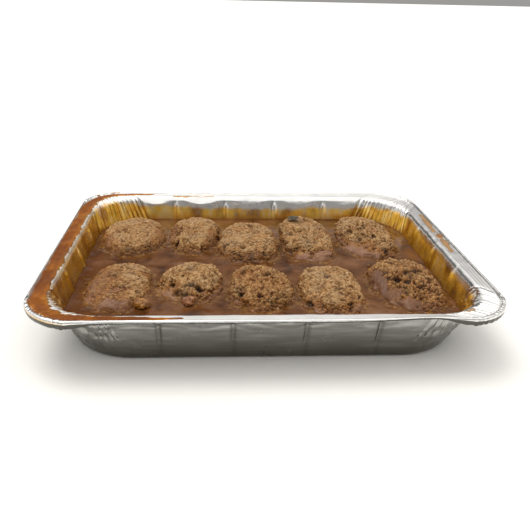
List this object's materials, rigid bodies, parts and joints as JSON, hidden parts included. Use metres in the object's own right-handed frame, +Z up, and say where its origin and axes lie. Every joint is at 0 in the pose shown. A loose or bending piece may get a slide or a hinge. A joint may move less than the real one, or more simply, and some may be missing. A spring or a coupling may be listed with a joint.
{
  "type": "foil tray meal",
  "caption": "Shallow oblong foil tray with a rolled rim and crimped corners, holding rows of oval minced-meat patties half sunk in brown gravy.",
  "frame": {"origin": "middle of the tray's underside, on the surface it stands on", "axes": "+X along the tray's long side, +Y from the front long side to the back one, +Z up"},
  "size_m": [0.324, 0.264, 0.043],
  "materials": {
    "foil": "bright pressed foil, creased and crimped",
    "gravy": "glossy thick brown gravy",
    "patty": "coarse crumbly cooked mince",
    "morsel": "wet amber-brown morsel",
    "fleck": "dull blue-grey slice"
  },
  "bodies": {
    "root": {"foil_tray": "foil", "gravy": "gravy", "patty_back_1": "patty", "patty_back_2": "patty", "patty_back_3": "patty", "patty_back_4": "patty", "patty_back_5": "patty", "patty_front_1": "patty", "patty_front_2": "patty", "patty_front_3": "patty", "patty_front_4": "patty", "patty_front_5": "patty", "morsel_front_1": "morsel", "morsel_front_2": "morsel", "morsel_back_4": "fleck"}
  },
  "joints": []
}
